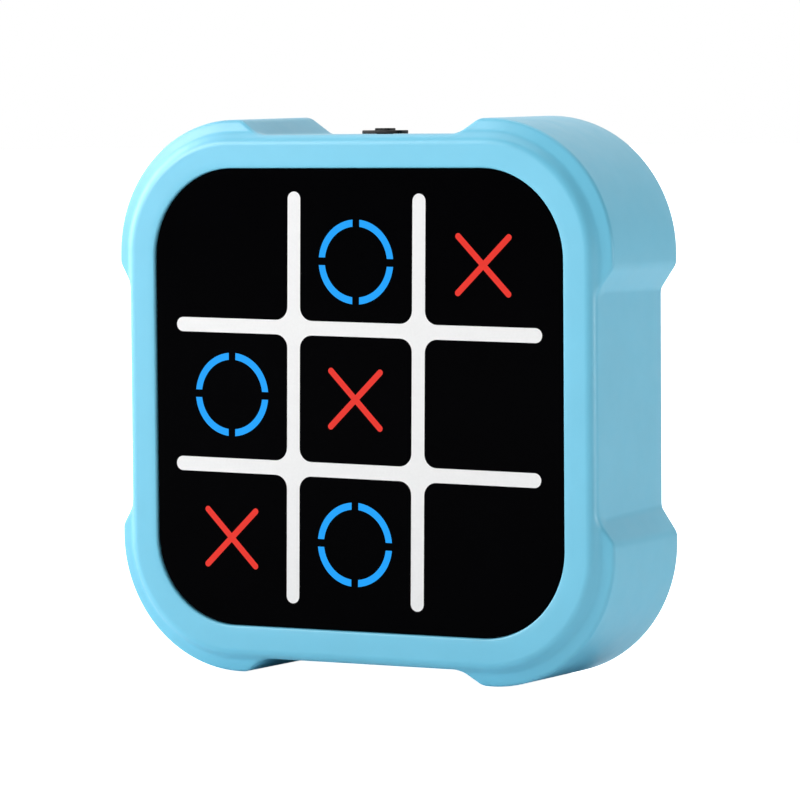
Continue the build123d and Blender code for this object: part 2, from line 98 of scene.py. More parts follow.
class CaseSizes(bpy.types.PropertyGroup):
    recess: length("Side recess", "How far the sides stand in from the bumpers", 2.43)
    corner: length("Bumper radius", "Outer radius of a bumper", 19.5)
    ramp_foot: length("Ramp foot", "Start of a bumper, from the middle of a side", 15.45)
    ramp: angle("Ramp", "Slope of a bumper's rise against the side", 34.2)
    roll: length("Bezel rounding", "Rounding of the bezel's outer edge", 1.5)
    dish: angle("Bumper slope", "Slope of a bumper's front", 17.0)
    lip_depth: length("Lip depth", "Depth of a bumper's front edge", 1.9)
    lip_round: length("Lip blend", "Blend at a bumper's front edge", 0.35)
    hollow: length("Hollow", "Blend between the bezel and a bumper", 0.6)
    draft: angle("Draft", "Slope of the bumpers' walls, narrower at the front", 0.7)
    crest: length("Crest", "Blend at the top of a ramp", 0.36)
    foot: length("Foot", "Blend at the foot of a ramp", 0.2)
    back_round: length("Back rounding", "Rounding of the outer back edge", 0.6)
    wall: length("Wall", "Wall thickness", 2.2)
    mouth_round: length("Mouth rounding", "Rounding of the bezel's inner edge", 0.3)


class PanelSizes(bpy.types.PropertyGroup):
    corner: length("Corner", "Corner radius of the panel", 12.7)
    bevel: length("Bevel", "Bevel of the panel's front edge", 0.2)
    line: length("Line width", "Width of the grid lines", 2.06)
    line_at: length("Line place", "Distance of a grid line from the middle", 10.05)
    line_reach: length("Line reach", "Half the length of a grid line", 29.4)
    line_corner: length("Line corner", "Rounding where two grid lines cross", 1.9)
    cell: length("Cell", "Distance between the middles of two cells", 20.2)
    tilt: angle("Print tilt", "Turn of the print on the panel, clockwise from the front", 0.75)
    cross_reach: length("Cross reach", "Stroke ends of a cross, along each axis", 3.95)
    stroke: length("Cross stroke", "Width of a cross's stroke", 0.9)
    ring_radius: length("Ring radius", "Outer radius of a ring", 6.0)
    ring_stroke: length("Ring stroke", "Width of a ring's stroke", 1.0)
    ring_gap: length("Ring gap", "Gap between two arcs of a ring", 1.1)


class SliderSizes(bpy.types.PropertyGroup):
    plate_width: length("Plate width", "Width of the slider's plate", 6.4)
    plate_depth: length("Plate depth", "Depth of the slider's plate", 2.9)
    plate_rise: length("Plate rise", "Thickness of the slider's plate", 0.5)
    plate_corner: length("Plate corner", "Corner radius of the slider's plate", 0.6)
    grip_width: length("Grip width", "Width of the raised grip", 2.4)
    grip_depth: length("Grip depth", "Depth of the raised grip", 2.2)
    grip_rise: length("Grip rise", "Height of the grip over the plate", 0.3)
    grip_corner: length("Grip corner", "Corner radius of the grip", 0.3)
    groove: length("Groove", "Width of a groove in the grip", 0.25)
    groove_depth: length("Groove depth", "Depth of a groove in the grip", 0.16)
    pitch: length("Groove pitch", "Distance between two grooves", 0.7)
    edge: length("Edge", "Rounding of the slider's edges", 0.12)
    neck: length("Neck", "Half-width of the neck under the plate", 0.9)
    neck_rise: length("Neck rise", "Height of the neck", 2.32)
    foot_depth: length("Foot depth", "Half the depth of the foot in the case", 1.8)


class CellSizes(bpy.types.PropertyGroup):
    nub_radius: length("Nub radius", "Radius of a cell's positive end", 1.9)
    nub_length: length("Nub length", "How far the positive end stands out", 1.0)
    band_share: amount("Band share", "Share of the length under the green band", 0.2)
    crimp: length("Crimp", "Depth of the turned-in edge of the sleeve", 0.5)


class GameColours(bpy.types.PropertyGroup):
    case: colour("Case", "Light blue ABS", "#6DC2DF")
    panel: colour("Panel", "Black print behind acrylic", "#020203")
    ink: colour("Grid", "White screen ink", "#E5E5E5")
    cross: colour("Cross", "Lit red window", "#E83024")
    ring: colour("Ring", "Lit blue window", "#00A2FF")
    slider: colour("Slider", "Black ABS", "#171312")
    board: colour("Board", "Green solder mask", "#0B5A33")
    sleeve: colour("Cell sleeve", "Pale sleeve of a dry cell", "#C9CDCC")
    band: colour("Cell band", "Green band of a dry cell", "#3F8A5B")


class StageSettings(bpy.types.PropertyGroup):
    azimuth: angle("Azimuth", "Camera's turn to the right of the face", 28.28)
    elevation: angle("Elevation", "Camera's rise above the middle", 3.65)
    roll: angle("Roll", "Camera's roll", -0.43)
    distance: length("Distance", "Camera's distance from the middle of the face", 621.0)
    slide: length("Slide", "Camera's slide to its right", 6.46)
    lift: length("Lift", "Camera's slide upwards", 0.12)
    lens: amount("Lens", "Focal length in millimetres on a 36 mm sensor", 197.8)
    sun: amount("Overhead light", "Strength of the broad overhead light", 1.0)
    key: amount("Key light", "Power of the light in front on the left, in watts", 7.4)
    fill: amount("Fill light", "Power of the light on the right, in watts", 1.9)
    rim: amount("Rim light", "Power of the light that only glints on the left, in watts", 8.0)
    room: amount("Room light", "Strength of the room's light in front", 0.14)
    room_back: amount("Light behind", "Strength of the room's light behind the game", 1.0)
    floor_glow: amount("Floor glow", "Light that the white floor adds to its own", 1.0)


# --- Colours and nodes ---


def linear(code):
    """Linear RGBA of an sRGB hex code."""
    shares = [int(code[i:i + 2], 16) / 255 for i in (1, 3, 5)]
    rgb = [c / 12.92 if c <= 0.04045 else ((c + 0.055) / 1.055) ** 2.4 for c in shares]
    return (*rgb, 1.0)


def add(tree, kind, settings=None, links=None):
    """Add a node with its settings, and link its inputs from other nodes' sockets."""
    made = tree.nodes.new(kind)
    for key, value in (settings or {}).items():
        if isinstance(key, str) and key.islower():
            setattr(made, key, value)
        else:
            made.inputs[key].default_value = value
    for key, socket in (links or {}).items():
        tree.links.new(socket, made.inputs[key])
    return made


def per_mm(millimetres):
    """Texture scale, per metre, of a pattern with this spacing."""
    return 1 / (millimetres * MM)


def new_material(name):
    """Empty material, its node tree and its object coordinates, which are metres."""
    material = bpy.data.materials.new(name)
    material.use_nodes = True
    tree = material.node_tree
    tree.nodes.clear()
    place = add(tree, "ShaderNodeTexCoord").outputs["Object"]
    return material, tree, place


def finish_material(tree, material, settings, links):
    """Give a material its Principled surface and output, and hand it back."""
    shader = add(tree, "ShaderNodeBsdfPrincipled", settings, links)
    add(tree, "ShaderNodeOutputMaterial", links={"Surface": shader.outputs[0]})
    return material


def grain(tree, place, spacing, depth, strength):
    """Normal of a fine irregular grain with this spacing and depth in millimetres."""
    scale = {"Scale": per_mm(spacing), "Detail": 2.0}
    height = add(tree, "ShaderNodeTexNoise", scale, {"Vector": place}).outputs[0]
    relief = {"Distance": depth * MM, "Strength": strength}
    return add(tree, "ShaderNodeBump", relief, {"Height": height}).outputs[0]


def spread(tree, place, spacing, low, high):
    """Value that wanders between low and high over this spacing in millimetres."""
    scale = {"Scale": per_mm(spacing), "Detail": 3.0}
    noise = add(tree, "ShaderNodeTexNoise", scale, {"Vector": place}).outputs[0]
    # A noise texture seldom leaves 0.3 to 0.7.
    span = {"From Min": 0.3, "From Max": 0.7, "To Min": low, "To Max": high}
    return add(tree, "ShaderNodeMapRange", span, {"Value": noise}).outputs[0]


def tinted(tree, place, code, spacing, change):
    """Colour that drifts lighter and darker by a share of itself over this spacing."""
    base = linear(code)[:3]
    dark = (*(c * (1 - change) for c in base), 1.0)
    light = (*(min(1, c * (1 + change)) for c in base), 1.0)
    drift = spread(tree, place, spacing, 0.0, 1.0)
    ends = {"data_type": "RGBA", MIX_A: dark, MIX_B: light}
    return add(tree, "ShaderNodeMix", ends, {"Factor": drift}).outputs[MIX_COLOUR]


def moulded_abs(name, code, roughness, grain_mm=0.22, shine=0.5):
    """ABS from a spark-eroded mould: even colour and a satin skin of very fine grain,
    which breaks up highlights. The real grain is near 0.05 mm; it is drawn coarser to show.
    """
    material, tree, place = new_material(name)
    return finish_material(tree, material, {"IOR": 1.54, "Specular IOR Level": shine}, {
        "Base Color": tinted(tree, place, code, 9.0, 0.02),
        "Roughness": spread(tree, place, 2.5, roughness - 0.03, roughness + 0.04),
        "Normal": grain(tree, place, grain_mm, 0.012, 0.35),
    })


def black_acrylic(code):
    """Acrylic sheet printed black on its back: deep black under a hard, faintly hazed face."""
    material, tree, place = new_material("black-backed acrylic sheet")
    return finish_material(tree, material, {"IOR": 1.25, "Specular IOR Level": 0.03}, {
        "Base Color": tinted(tree, place, code, 12.0, 0.15),
        "Roughness": spread(tree, place, 14.0, 0.14, 0.20),
        "Normal": grain(tree, place, 6.0, 0.01, 0.05),
    })


def screen_ink(code):
    """White screen ink behind the acrylic: dense and even, with the mesh's faint dots."""
    material, tree, place = new_material("white screen ink")
    return finish_material(tree, material, {"IOR": 1.30}, {
        "Base Color": tinted(tree, place, code, 0.35, 0.015),
        "Roughness": spread(tree, place, 14.0, 0.28, 0.34),
        "Normal": grain(tree, place, 0.4, 0.004, 0.08),
    })


def lit_window(name, code, strength):
    """Window in the black print, lit from behind through an opal film: bright and even,
    with a faint mottle from the film.
    """
    material, tree, place = new_material(name)
    glow = tinted(tree, place, code, 0.8, 0.03)
    return finish_material(tree, material, {
        "IOR": 1.25, "Roughness": 0.25,
        "Emission Strength": strength, "Base Color": linear("#100808"),
    }, {"Emission Color": glow})


def plated_steel(name, code, roughness, spacing=0.5):
    """Zinc or nickel plate on steel: bright metal with fine drawing and handling marks."""
    material, tree, place = new_material(name)
    return finish_material(tree, material, {"Metallic": 1.0}, {
        "Base Color": tinted(tree, place, code, 1.5, 0.06),
        "Roughness": spread(tree, place, spacing, roughness - 0.06, roughness + 0.08),
        "Normal": grain(tree, place, spacing / 2, 0.004, 0.2),
    })


def printed_sleeve(name, code):
    """Printed plastic film shrunk on a dry cell: glossy, with slight ripples from shrinking."""
    material, tree, place = new_material(name)
    gloss = {"IOR": 1.5, "Coat Weight": 0.6, "Coat Roughness": 0.12}
    return finish_material(tree, material, gloss, {
        "Base Color": tinted(tree, place, code, 5.0, 0.05),
        "Roughness": spread(tree, place, 4.0, 0.26, 0.36),
        "Normal": grain(tree, place, 3.0, 0.01, 0.15),
    })


def solder_mask(code):
    """Glass-fibre board under green solder mask: glossy lacquer over the weave and copper,
    whose tracks show as paler bands.
    """
    material, tree, place = new_material("solder-masked glass-fibre board")
    cells = {"feature": "DISTANCE_TO_EDGE", "Scale": per_mm(5.0), "Randomness": 0.35}
    tracks = add(tree, "ShaderNodeTexVoronoi", cells, {"Vector": place}).outputs["Distance"]
    edge = add(tree, "ShaderNodeMapRange", {"From Min": 0.03, "From Max": 0.05}, {"Value": tracks})
    base = linear(code)
    over_copper = (*(min(1, c * 1.9) for c in base[:3]), 1.0)
    ends = {"data_type": "RGBA", MIX_A: over_copper, MIX_B: base}
    mix = add(tree, "ShaderNodeMix", ends, {"Factor": edge.outputs[0]})
    lacquer = {"IOR": 1.52, "Coat Weight": 0.5, "Coat Roughness": 0.1}
    return finish_material(tree, material, lacquer, {
        "Base Color": mix.outputs[MIX_COLOUR],
        "Roughness": spread(tree, place, 3.0, 0.3, 0.4),
        "Normal": grain(tree, place, 0.6, 0.01, 0.2),
    })


def clear_plastic(name, code, ior, roughness):
    """Clear moulded acrylic or film: see-through, with faint flow marks in its surface."""
    material, tree, place = new_material(name)
    return finish_material(tree, material, {
        "IOR": ior, "Transmission Weight": 0.92, "Base Color": linear(code),
    }, {
        "Roughness": spread(tree, place, 3.0, roughness, roughness + 0.06),
        "Normal": grain(tree, place, 2.0, 0.01, 0.1),
    })


def lamp_resin(name, code, strength):
    """Tinted epoxy of a small lamp that is on: it glows from the chip under it."""
    material, tree, place = new_material(name)
    return finish_material(tree, material, {
        "IOR": 1.5, "Transmission Weight": 0.3,
        "Emission Strength": strength, "Emission Color": linear(code),
    }, {
        "Base Color": tinted(tree, place, code, 0.4, 0.1),
        "Roughness": spread(tree, place, 0.5, 0.15, 0.25),
    })


def soft_plastic(name, code, roughness, spacing=0.6, depth=0.02, sheen=0.0):
    """Soft PVC, foam, paper cone or moulded resin: dull skin with an irregular grain."""
    material, tree, place = new_material(name)
    return finish_material(tree, material, {"IOR": 1.5, "Sheen Weight": sheen}, {
        "Base Color": tinted(tree, place, code, 2.0, 0.06),
        "Roughness": spread(tree, place, 1.5, roughness - 0.05, roughness + 0.05),
        "Normal": grain(tree, place, spacing, depth, 0.4),
    })


# --- Meshes ---


def face_point(x, z, depth):
    """Point given from the middle of the face and by its depth behind the bezel."""
    return (x, BEZEL + depth, MIDDLE + z)


def new_piece(name, points, faces, materials, body, replaced, index=None, crease=SOFT_CREASE):
    """Mesh object that rides on a body, stands for CAD nodes and takes a material slot.

    The index gives each face the number of its material.
    """
    mesh = bpy.data.meshes.new(name)
    mesh.from_pydata(points, [], faces)
    for material in materials:
        mesh.materials.append(material)
    if index is not None:
        mesh.polygons.foreach_set("material_index", index)
    piece = bpy.data.objects.new(name, mesh)
    bpy.context.scene.collection.objects.link(piece)
    tidy_mesh(mesh, crease)
    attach(piece, body)
    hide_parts(*replaced)
    return piece


def tidy_mesh(mesh, crease):
    """Outward normals, smooth shading and sharp edges above the crease angle."""
    work = bmesh.new()
    work.from_mesh(mesh)
    bmesh.ops.remove_doubles(work, verts=work.verts, dist=1e-7)
    bmesh.ops.recalc_face_normals(work, faces=work.faces)
    work.to_mesh(mesh)
    work.free()
    mesh.shade_smooth()
    mesh.set_sharp_from_angle(angle=math.radians(crease))
    mesh.update()


def bridge(count, rings, closed=True):
    """Quads between successive rings of count points each; closed joins last to first."""
    faces = []
    last = rings if closed else rings - 1
    for ring in range(last):
        after = (ring + 1) % rings
        a, b = ring * count, after * count
        for k in range(count):
            nxt = (k + 1) % count
            faces.append((a + k, a + nxt, b + nxt, b + k))
    return faces


def end_caps(count, total):
    """Faces that close the first and the last ring of count points."""
    return [tuple(range(count)), tuple(range(total - count, total))]


def rounded_square(x, z, half, corner):
    """Signed distance to a rounded square about the middle of the face."""
    across, along = np.abs(x) - (half - corner), np.abs(z) - (half - corner)
    outside = np.hypot(np.maximum(across, 0), np.maximum(along, 0))
    return outside + np.minimum(np.maximum(across, along), 0) - corner


def meet(a, b, blend):
    """Signed distance to the overlap of two forms with a rounded edge."""
    rounding = np.hypot(np.maximum(a + blend, 0), np.maximum(b + blend, 0))
    return np.minimum(np.maximum(a, b), -blend) + rounding


def join(a, b, blend):
    """Signed distance to the union of two forms with a rounded hollow."""
    rounding = np.hypot(np.maximum(blend - a, 0), np.maximum(blend - b, 0))
    return np.maximum(np.minimum(a, b), blend) - rounding


def ramps(x, z, sizes, inset=0.0):
    """Signed distances to the ramps that end the bumpers, on the upright and level sides."""
    lean, rise = math.cos(sizes.ramp), math.sin(sizes.ramp)
    side = HALF - sizes.recess
    across, along = np.abs(x), np.abs(z)
    upright = (across - side) * lean - (along - sizes.ramp_foot) * rise + inset
    level = (along - side) * lean - (across - sizes.ramp_foot) * rise + inset
    return upright, level


def bumper_plan(x, z, sizes, crest, inset=0.0):
    """Plan of the four bumpers."""
    plan = rounded_square(x, z, HALF, sizes.corner) + inset
    for ramp in ramps(x, z, sizes, inset):
        plan = meet(plan, ramp, crest)
    return plan


def case_plan(x, z, sizes, inset, crest, foot):
    """Plan of the whole case, drawn in by an inset."""
    core = rounded_square(x, z, HALF - sizes.recess, sizes.corner - sizes.recess) + inset
    return join(core, bumper_plan(x, z, sizes, crest, inset), foot)


def draft_inset(depth, sizes):
    """How far the draft draws a bumper's wall in at a depth."""
    return math.tan(sizes.draft) * (DEPTH - depth)


def case_front(x, z, depth, sizes):
    """Case near its front: bezel that rolls off, hollow, sloping bumper front and lip."""
    core = rounded_square(x, z, HALF - sizes.recess, sizes.corner - sizes.recess)
    core = meet(core, -depth, sizes.roll)
    inward = rounded_square(x, z, HALF, sizes.corner)
    least_depth = 1.0 * MM
    floor = np.maximum(sizes.lip_depth + math.tan(sizes.dish) * inward, least_depth)
    front = (floor - depth) * math.cos(sizes.dish)
    plan = bumper_plan(x, z, sizes, sizes.crest, draft_inset(depth, sizes))
    # Here the blend narrows from the hollow's to that of the ramps' feet.
    narrows_from, narrows_over = 2.0 * MM, 1.5 * MM
    deep = np.clip((depth - narrows_from) / narrows_over, 0, 1)
    blend = sizes.hollow + (sizes.foot - sizes.hollow) * deep
    return join(core, meet(plan, front, sizes.lip_round), blend)


def outline_rays(sizes):
    """Start and direction of the rays that draw each outline, once round the case.

    They leave the sides at right angles, closer together at the ramps, and fan out at
    the corners.
    """
    reach = HALF - sizes.corner
    over_ramp = np.arange(12.6, 20.4, 0.25) * MM
    between_ramps = np.linspace(-12.0, 12.0, 13) * MM
    along = np.concatenate([-over_ramp[::-1], between_ramps, over_ramp])
    turn = np.linspace(0, math.pi / 2, 41)
    starts, directions = [], []
    for quarter in range(4):
        spin = quarter * math.pi / 2
        c, s = math.cos(spin), math.sin(spin)
        side = [((reach, a), (1.0, 0.0)) for a in along]
        bend = [((reach, reach), (math.cos(t), math.sin(t))) for t in turn]
        for (px, pz), (dx, dz) in side + bend:
            starts.append((px * c - pz * s, px * s + pz * c))
            directions.append((dx * c - dz * s, dx * s + dz * c))
    return np.array(starts), np.array(directions)


def surface_on_rays(field, low, high):
    """Distance along each ray where a signed distance turns positive."""
    low, high = np.array(low, float), np.array(high, float)
    for _ in range(44):     # halvings, well past the last digit that a mesh keeps
        middle = (low + high) / 2
        inside = field(middle) < 0
        low = np.where(inside, middle, low)
        high = np.where(inside, high, middle)
    return (low + high) / 2


def case_rings(sizes, panel):
    """Closed rings of points of the case, from the bezel's mouth round the back and in."""
    starts, directions = outline_rays(sizes)
    count = len(starts)
    zero, far, near = np.zeros(count), np.full(count, 30 * MM), np.full(count, 12 * MM)
    rings = []

    def add_ring(reach, depth):
        spots = starts + directions * reach[:, None]
        rings.append(np.column_stack([spots[:, 0], spots[:, 1], np.full(count, depth)]))

    def plan_ring(field, depth):
        def along_rays(t):
            return field(*(starts + directions * t[:, None]).T)

        add_ring(surface_on_rays(along_rays, zero, far), depth)

    def mouth(grow):
        play = 0.1 * MM + grow
        return lambda x, z: rounded_square(x, z, PANEL_HALF + play, panel.corner + play)

    ledge_front, ledge_back = 1.95 * MM, 3.4 * MM
    plan_ring(mouth(0), ledge_front)
    small = sizes.mouth_round
    for k in range(5):
        turn = k / 4 * math.pi / 2
        plan_ring(mouth(small * (1 - math.cos(turn))), small * (1 - math.sin(turn)))

    # Fan of rays in each section, from a pivot inside the wall, closer over the edges.
    pivot_out, pivot_depth = sizes.corner - 6.4 * MM, 4.2 * MM
    fan = np.radians(np.concatenate([np.linspace(4, 22, 4), np.linspace(25, 90, 44)]))
    for turn in fan:
        out, back = math.sin(turn), -math.cos(turn)

        def section(t):
            spots = starts + directions * (pivot_out + t * out)[:, None]
            return case_front(spots[:, 0], spots[:, 1], pivot_depth + t * back, sizes)

        reach = surface_on_rays(section, zero, near)
        add_ring(pivot_out + reach * out, pivot_depth + reach * back)

    wall_front = 6 * MM
    for depth in np.linspace(wall_front, DEPTH - sizes.back_round, 8):
        plan_ring(lambda x, z, d=depth: case_front(x, z, d, sizes), depth)
    for k in range(1, 7):
        turn = k / 6 * math.pi / 2
        inset = sizes.back_round * (1 - math.cos(turn))
        depth = DEPTH - sizes.back_round * (1 - math.sin(turn))
        plan_ring(lambda x, z, d=depth, i=inset: case_front(x, z, d, sizes) + i, depth)
    inner_crest, inner_foot, edge = 0.05 * MM, 0.55 * MM, 0.15 * MM
    for inset, depth in (
        (sizes.wall - edge, DEPTH), (sizes.wall, DEPTH - edge),
        (sizes.wall, DEPTH - 3 * MM), (sizes.wall, ledge_back),
    ):
        plan_ring(lambda x, z, i=inset: case_plan(x, z, sizes, i, inner_crest, inner_foot), depth)
    ledge_half, ledge_corner = 30.2 * MM, 10.2 * MM
    for depth in (ledge_back, ledge_front):
        plan_ring(lambda x, z: rounded_square(x, z, ledge_half, ledge_corner), depth)
    return count, rings


def lathe(profile, axis_point, axis, steps=64):
    """Points and quads of a form turned about an axis, and each quad's profile step.

    The profile is (distance along the axis, radius), from one closed end to the other.
    """
    along = Vector(axis).normalized()
    side = along.orthogonal().normalized()
    other = along.cross(side)
    points = []
    for distance, radius in profile:
        for k in range(steps):
            turn = 2 * math.pi * k / steps
            out = side * math.cos(turn) + other * math.sin(turn)
            points.append(Vector(axis_point) + along * distance + out * radius)
    faces = bridge(steps, len(profile), closed=False) + end_caps(steps, len(points))
    step_of = [ring for ring in range(len(profile) - 1) for _ in range(steps)]
    step_of += [0, len(profile) - 2]
    return [tuple(p) for p in points], faces, step_of


def cut_box(piece, low, high):
    """Cut a box out of a piece."""
    mesh = bpy.data.meshes.new("cutter")
    work = bmesh.new()
    bmesh.ops.create_cube(work, size=1.0)
    middle, size = (Vector(high) + Vector(low)) / 2, Vector(high) - Vector(low)
    matrix = Matrix.Translation(middle) @ Matrix.Diagonal((*size, 1.0))
    bmesh.ops.transform(work, matrix=matrix, verts=work.verts)
    work.to_mesh(mesh)
    work.free()
    cutter = bpy.data.objects.new("cutter", mesh)
    bpy.context.scene.collection.objects.link(cutter)
    change = piece.modifiers.new("cut", "BOOLEAN")
    change.operation = "DIFFERENCE"
    change.solver = "EXACT"
    change.object = cutter
    bpy.context.view_layer.update()
    graph = bpy.context.evaluated_depsgraph_get()
    piece_mesh = bpy.data.meshes.new_from_object(piece.evaluated_get(graph))
    piece.modifiers.clear()
    piece.data = piece_mesh
    bpy.data.objects.remove(cutter)


def dress(node, *materials, rule=None):
    """Give a CAD node its materials; the rule picks one for each face from its middle."""
    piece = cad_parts[node]
    piece.data.materials.clear()
    for material in materials:
        piece.data.materials.append(material)
    picks = [0] * len(piece.data.polygons)
    if rule:
        picks = [rule(face.center) for face in piece.data.polygons]
    piece.data.polygons.foreach_set("material_index", picks)
    piece.data.update()


# --- Panel print ---


def arc(x, z, radius, start, end, steps):
    """Points of an arc, angles in degrees."""
    turns = np.radians(np.linspace(start, end, steps + 1))
    return [(x + radius * math.cos(t), z + radius * math.sin(t)) for t in turns]


def square_loop(half, corner, steps=12):
    """Outline of a rounded square, anticlockwise."""
    k = half - corner
    middles = ((k, k, 0), (-k, k, 90), (-k, -k, 180), (k, -k, 270))
    return [p for x, z, a in middles for p in arc(x, z, corner, a, a + 90, steps)]


def grid_loops(sizes):
    """Outline of the two pairs of crossing lines, and that of the middle cell."""
    at, half, reach = sizes.line_at, sizes.line / 2, sizes.line_reach
    bend = sizes.line_corner
    inner, outer = at - half, at + half
    # One quarter: round the right end of the upper level line and the top of the right
    # upright line, with the three hollow corners before, between and after them.
    quarter = arc(outer + bend, inner - bend, bend, 180, 90, 8)
    quarter += arc(reach - half, at, half, -90, 90, 16)
    quarter += arc(outer + bend, outer + bend, bend, 270, 180, 8)
    quarter += arc(at, reach - half, half, 0, 180, 16)
    quarter += arc(inner - bend, outer + bend, bend, 360, 270, 8)
    loop = []
    for k in range(4):
        c, s = round(math.cos(k * math.pi / 2)), round(math.sin(k * math.pi / 2))
        loop += [(x * c - z * s, x * s + z * c) for x, z in quarter]
    return loop, square_loop(inner, bend, 8)


def cross_loop(x, z, sizes):
    """Outline of a cross of two strokes with round ends."""
    half = sizes.stroke / 2
    tip = math.hypot(sizes.cross_reach, sizes.cross_reach)      # the strokes run at 45 degrees
    loop = []
    for k in range(4):
        turn = k * 90 + 45
        c, s = math.cos(math.radians(turn)), math.sin(math.radians(turn))
        ends = [(tip + px, pz) for px, pz in arc(0, 0, half, -90, 90, 10)]
        stroke = [(half, -half)] + ends
        loop += [(x + px * c - pz * s, z + px * s + pz * c) for px, pz in stroke]
    return loop


def ring_loops(x, z, sizes):
    """Outlines of the four arcs of a ring."""
    outer, inner = sizes.ring_radius, sizes.ring_radius - sizes.ring_stroke
    loops = []
    for k in range(4):
        cut_out = math.degrees(math.asin(sizes.ring_gap / 2 / outer))
        cut_in = math.degrees(math.asin(sizes.ring_gap / 2 / inner))
        start, end = 90 * k, 90 * k + 90
        out = arc(x, z, outer, start + cut_out, end - cut_out, 20)
        back = arc(x, z, inner, end - cut_in, start + cut_in, 20)
        loops.append(out + back)
    return loops


def inside(point, loop):
    """Whether a point lies inside a loop."""
    x, z = point
    found = False
    for (ax, az), (bx, bz) in zip(loop, loop[1:] + loop[:1]):
        if (az > z) != (bz > z) and x < (bx - ax) * (z - az) / (bz - az) + ax:
            found = not found
    return found


def panel_print(sizes):
    """Loops of the print with the material inside each; the black ground is the rest."""
    outline, middle_cell = grid_loops(sizes)
    loops = [(outline, GRID), (middle_cell, GROUND)]
    step = sizes.cell
    for x, z in LIT_CROSSES:
        loops.append((cross_loop(x * step, z * step + ROW_RISE[z], sizes), RED))
    for x, z in LIT_RINGS:
        loops += [(loop, BLUE) for loop in ring_loops(x * step, z * step + ROW_RISE[z], sizes)]
    c, s = math.cos(sizes.tilt), math.sin(sizes.tilt)
    return [([(x * c + z * s, z * c - x * s) for x, z in loop], ink) for loop, ink in loops]


def panel_mesh(sizes):
    """Points, faces and materials of the panel: printed front, bevel, sides and back."""
    bevel = sizes.bevel
    front_loop = square_loop(PANEL_HALF - bevel, sizes.corner - bevel)
    side_loop = square_loop(PANEL_HALF, sizes.corner)
    loops = panel_print(sizes)
    flat, edges = list(front_loop), []
    for loop, _ in loops:
        start = len(flat)
        flat += loop
        edges += [(start + k, start + (k + 1) % len(loop)) for k in range(len(loop))]
    border = [tuple(range(len(front_loop)))]
    spots = [Vector(p) / MM for p in flat]
    keep_inside, merge_mm = 1, 1e-4
    places, _, triangles, *_ = delaunay_2d_cdt(spots, edges, border, keep_inside, merge_mm, False)
    places = [p * MM for p in places]

    front, back = PANEL_LOW.y - BEZEL, PANEL_HIGH.y - BEZEL
    points = [face_point(x, z, front) for x, z in places]
    faces, index = [], []
    for triangle in triangles:
        middle = sum((places[k] for k in triangle), Vector((0, 0))) / 3
        pick = GROUND
        for loop, material in loops:
            if inside(middle, loop):
                pick = material
        faces.append(tuple(triangle))
        index.append(pick)
    count = len(side_loop)
    base = len(points)
    rings = [(front_loop, front), (side_loop, front + bevel), (side_loop, back)]
    points += [face_point(x, z, depth) for loop, depth in rings for x, z in loop]
    sides = bridge(count, len(rings), closed=False)
    faces += [tuple(base + k for k in face) for face in sides]
    faces.append(tuple(base + 2 * count + k for k in range(count)))
    index += [GROUND] * (len(sides) + 1)
    return points, faces, index


def stack(rings, middle_x, middle_y):
    """Points and faces of a form through level rounded rectangles.

    Each ring is (half-width, half-depth, corner radius, height).
    """
    points = []
    for half_x, half_y, corner, height in rings:
        x, y = half_x - corner, half_y - corner
        for cx, cy, start in ((x, y, 0), (-x, y, 90), (-x, -y, 180), (x, -y, 270)):
            for px, py in arc(cx, cy, corner, start, start + 90, 6):
                points.append((middle_x + px, middle_y + py, height))
    count = len(points) // len(rings)
    return points, bridge(count, len(rings), closed=False) + end_caps(count, len(points))


# --- Operators ---


class GAME_OT_case(bpy.types.Operator):
    """Builds the front shell, with its bumpers, bosses and the slot for the slider"""
    bl_idname = "game.case"
    bl_label = "Case"

    def execute(self, context):
        sizes, panel = context.scene.game_case, context.scene.game_panel
        count, rings = case_rings(sizes, panel)
        points = [face_point(x, z, depth) for ring in rings for x, z, depth in ring]
        faces = bridge(count, len(rings))
        for x, z, profile in self.posts():
            turned = [(depth * MM, radius * MM) for depth, radius in profile]
            made, quads, _ = lathe(turned, face_point(x * MM, z * MM, 0), (0, 1, 0), 32)
            faces += [tuple(len(points) + k for k in face) for face in quads]
            points += made
        skin = moulded_abs("satin moulded blue ABS", context.scene.game_colours.case, 0.36)
        piece = new_piece("case_shell", points, faces, [skin], "case", ("front_shell",))
        low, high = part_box("mode_slider")
        middle, top = (low.y + high.y) / 2, SHELL_HIGH.z - sizes.recess
        slot_half, slot_deep = 3.1 * MM, 1.05 * MM
        cut_box(
            piece,
            (-slot_half, middle - slot_deep, top - 2 * sizes.wall),
            (slot_half, middle + slot_deep, top + sizes.wall),
        )
        tidy_mesh(piece.data, SOFT_CREASE)
        for node in ("back_cover", "battery_door"):
            dress(node, skin)
        return {"FINISHED"}

    @staticmethod
    def posts():
        """Place of each hollow post and its profile of (depth, radius), in millimetres.

        Four bosses take the case's screws and four posts take those of the board.
        """
        case_boss = [(2.9, 3.0), (17.0, 3.0), (17.0, 1.2), (8.0, 1.2)]
        board_post = [(2.9, 1.8), (6.6, 1.8), (6.6, 0.95), (3.6, 0.95)]
        for x in (-1, 1):
            for z in (-1, 1):
                yield x * 29.3, z * 29.3, case_boss
                yield x * 32.0, z * 10.0, board_post


class GAME_OT_panel(bpy.types.Operator):
    """Builds the printed acrylic panel with its lit crosses and rings"""
    bl_idname = "game.panel"
    bl_label = "Lit panel"

    def execute(self, context):
        colours = context.scene.game_colours
        points, faces, index = panel_mesh(context.scene.game_panel)
        materials = [
            black_acrylic(colours.panel),
            screen_ink(colours.ink),
            lit_window("red-lit opal window", colours.cross, 1.0),
            lit_window("blue-lit opal window", colours.ring, 1.0),
        ]
        new_piece(
            "printed_panel", points, faces, materials,
            "case", ("face_panel",), index,
        )
        return {"FINISHED"}


